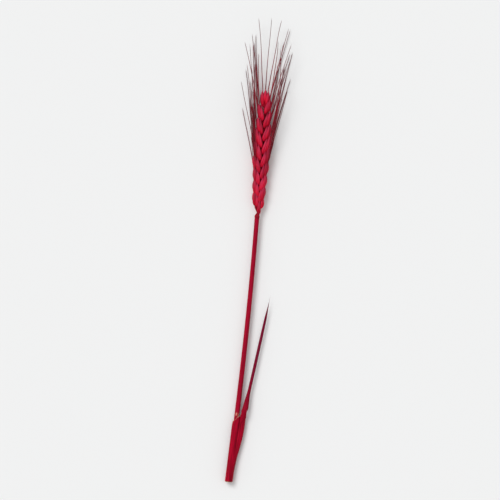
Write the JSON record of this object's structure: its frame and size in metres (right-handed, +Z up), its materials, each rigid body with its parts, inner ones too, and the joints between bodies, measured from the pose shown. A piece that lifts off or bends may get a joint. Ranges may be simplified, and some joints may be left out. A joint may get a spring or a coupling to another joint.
{
  "type": "wheat ear",
  "caption": "Dried, dyed crimson bearded ear of wheat lying flat, with long awns, its cut straw and a narrow rolled leaf in a split sheath.",
  "frame": {"origin": "bottom centre of the whole piece's box, on the surface that it lies on", "axes": "+Y from the straw's cut end to the awns' tips, +Z up from the surface, the two rows of spikelets at -X and +X"},
  "size_m": [0.0275, 0.2539, 0.0122],
  "materials": {
    "ear": "dry, dyed chaff, matt to satin",
    "stalk": "dyed straw, satin",
    "leaf": "dyed dry leaf, matt"
  },
  "bodies": {
    "root": {"ear": "ear", "stalk": "stalk", "leaf": "leaf"}
  },
  "joints": []
}
